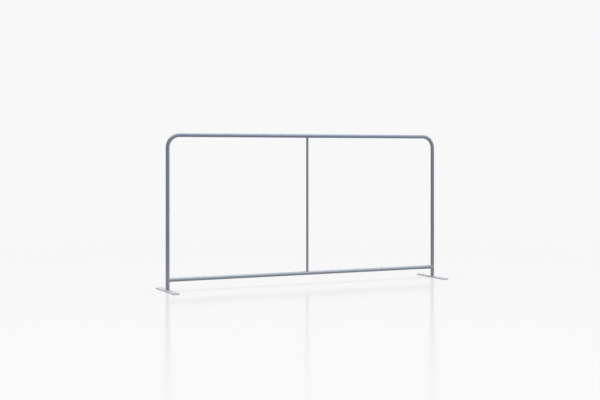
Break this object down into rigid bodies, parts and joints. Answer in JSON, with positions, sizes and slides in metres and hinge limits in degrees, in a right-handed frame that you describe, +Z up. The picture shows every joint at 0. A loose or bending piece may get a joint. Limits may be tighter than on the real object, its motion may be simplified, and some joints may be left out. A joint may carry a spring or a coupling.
{
  "type": "advertising barrier frame",
  "caption": "Bare tube frame of an advertising barrier: bent uprights, snap-together rails with sprung buttons, a slim centre post and flat swivel feet that it lifts off.",
  "frame": {"origin": "on the floor, midway between the uprights and between the ends of the feet", "axes": "+X along the barrier to the right as seen from the front, +Y to the back, +Z up"},
  "size_m": [2.02, 0.36, 1.012],
  "materials": {
    "tube_aluminium": "satin anodised, drawn along the tube",
    "post_aluminium": "satin anodised, drawn along the tube",
    "weld_aluminium": "as welded, brushed clean",
    "ferrule_aluminium": "plain drawn tube",
    "rivet_aluminium": "plain",
    "button_steel": "polished stainless",
    "spring_steel": "blued strip",
    "plug_plastic": "moulded, fine grain",
    "plate_paint": "silver-grey powder coat",
    "foot_post_steel": "zinc plated, turned",
    "screw_steel": "zinc plated",
    "bush_nylon": "pale grey nylon",
    "pad_rubber": "ribbed sheet"
  },
  "bodies": {
    "frame": {"left_upright": "tube_aluminium", "left_rail_stub": "tube_aluminium", "left_stub_weld": "weld_aluminium", "right_upright": "tube_aluminium", "right_rail_stub": "tube_aluminium", "right_stub_weld": "weld_aluminium", "top_rail_left": "tube_aluminium", "top_rail_centre": "tube_aluminium", "top_rail_right": "tube_aluminium", "bottom_rail_left": "tube_aluminium", "bottom_rail_centre": "tube_aluminium", "bottom_rail_right": "tube_aluminium", "centre_post": "post_aluminium", "post_plug_top": "plug_plastic", "post_plug_bottom": "plug_plastic", "ferrule_rivets": "rivet_aluminium", "ferrule_top_far_left": "ferrule_aluminium", "button_spring_top_far_left": "spring_steel", "ferrule_top_mid_left": "ferrule_aluminium", "button_spring_top_mid_left": "spring_steel", "ferrule_top_mid_right": "ferrule_aluminium", "button_spring_top_mid_right": "spring_steel", "ferrule_top_far_right": "ferrule_aluminium", "button_spring_top_far_right": "spring_steel", "ferrule_bottom_far_left": "ferrule_aluminium", "button_spring_bottom_far_left": "spring_steel", "ferrule_bottom_mid_left": "ferrule_aluminium", "button_spring_bottom_mid_left": "spring_steel", "ferrule_bottom_mid_right": "ferrule_aluminium", "button_spring_bottom_mid_right": "spring_steel", "ferrule_bottom_far_right": "ferrule_aluminium", "button_spring_bottom_far_right": "spring_steel"},
    "button_top_far_left": {"button_top_far_left": "button_steel"},
    "button_top_mid_left": {"button_top_mid_left": "button_steel"},
    "button_top_mid_right": {"button_top_mid_right": "button_steel"},
    "button_top_far_right": {"button_top_far_right": "button_steel"},
    "button_bottom_far_left": {"button_bottom_far_left": "button_steel"},
    "button_bottom_mid_left": {"button_bottom_mid_left": "button_steel"},
    "button_bottom_mid_right": {"button_bottom_mid_right": "button_steel"},
    "button_bottom_far_right": {"button_bottom_far_right": "button_steel"},
    "left_bush": {"left_bush": "bush_nylon"},
    "left_foot": {"left_foot_plate": "plate_paint", "left_foot_pad": "pad_rubber", "left_foot_post": "foot_post_steel", "left_base_screw": "screw_steel", "left_retaining_washer": "screw_steel", "left_retaining_screw": "screw_steel"},
    "right_bush": {"right_bush": "bush_nylon"},
    "right_foot": {"right_foot_plate": "plate_paint", "right_foot_pad": "pad_rubber", "right_foot_post": "foot_post_steel", "right_base_screw": "screw_steel", "right_retaining_washer": "screw_steel", "right_retaining_screw": "screw_steel"}
  },
  "joints": [
    {"name": "press_top_far_left", "type": "slide", "parent": "frame", "child": "button_top_far_left", "axis": [0, 0, 1], "range_m": [0, 0.0044], "stiffness_N_per_m": 1500, "springref_m": -0.002, "deforming": ["button_spring_top_far_left"]},
    {"name": "press_top_mid_left", "type": "slide", "parent": "frame", "child": "button_top_mid_left", "axis": [0, 0, 1], "range_m": [0, 0.0044], "stiffness_N_per_m": 1500, "springref_m": -0.002, "deforming": ["button_spring_top_mid_left"]},
    {"name": "press_top_mid_right", "type": "slide", "parent": "frame", "child": "button_top_mid_right", "axis": [0, 0, 1], "range_m": [0, 0.0044], "stiffness_N_per_m": 1500, "springref_m": -0.002, "deforming": ["button_spring_top_mid_right"]},
    {"name": "press_top_far_right", "type": "slide", "parent": "frame", "child": "button_top_far_right", "axis": [0, 0, 1], "range_m": [0, 0.0044], "stiffness_N_per_m": 1500, "springref_m": -0.002, "deforming": ["button_spring_top_far_right"]},
    {"name": "press_bottom_far_left", "type": "slide", "parent": "frame", "child": "button_bottom_far_left", "axis": [0, 0, -1], "range_m": [0, 0.0044], "stiffness_N_per_m": 1500, "springref_m": -0.002, "deforming": ["button_spring_bottom_far_left"]},
    {"name": "press_bottom_mid_left", "type": "slide", "parent": "frame", "child": "button_bottom_mid_left", "axis": [0, 0, -1], "range_m": [0, 0.0044], "stiffness_N_per_m": 1500, "springref_m": -0.002, "deforming": ["button_spring_bottom_mid_left"]},
    {"name": "press_bottom_mid_right", "type": "slide", "parent": "frame", "child": "button_bottom_mid_right", "axis": [0, 0, -1], "range_m": [0, 0.0044], "stiffness_N_per_m": 1500, "springref_m": -0.002, "deforming": ["button_spring_bottom_mid_right"]},
    {"name": "press_bottom_far_right", "type": "slide", "parent": "frame", "child": "button_bottom_far_right", "axis": [0, 0, -1], "range_m": [0, 0.0044], "stiffness_N_per_m": 1500, "springref_m": -0.002, "deforming": ["button_spring_bottom_far_right"]},
    {"name": "left_foot_swivel", "type": "hinge", "parent": "left_bush", "child": "left_foot", "pos_m": [-0.9875, 0, 0.007], "axis": [0, 0, 1], "continuous": true},
    {"name": "right_foot_swivel", "type": "hinge", "parent": "right_bush", "child": "right_foot", "pos_m": [0.9875, 0, 0.007], "axis": [0, 0, 1], "continuous": true},
    {"name": "lift_off_left_foot", "type": "slide", "parent": "left_bush", "child": "frame", "axis": [0, 0, 1], "range_m": [0, 0.1]},
    {"name": "lift_off_right_foot", "type": "slide", "parent": "frame", "child": "right_bush", "axis": [0, 0, -1], "range_m": [0, 0.1]}
  ],
  "couplings": [
    {"joint": "lift_off_right_foot", "follows": "lift_off_left_foot", "ratio": 1}
  ]
}
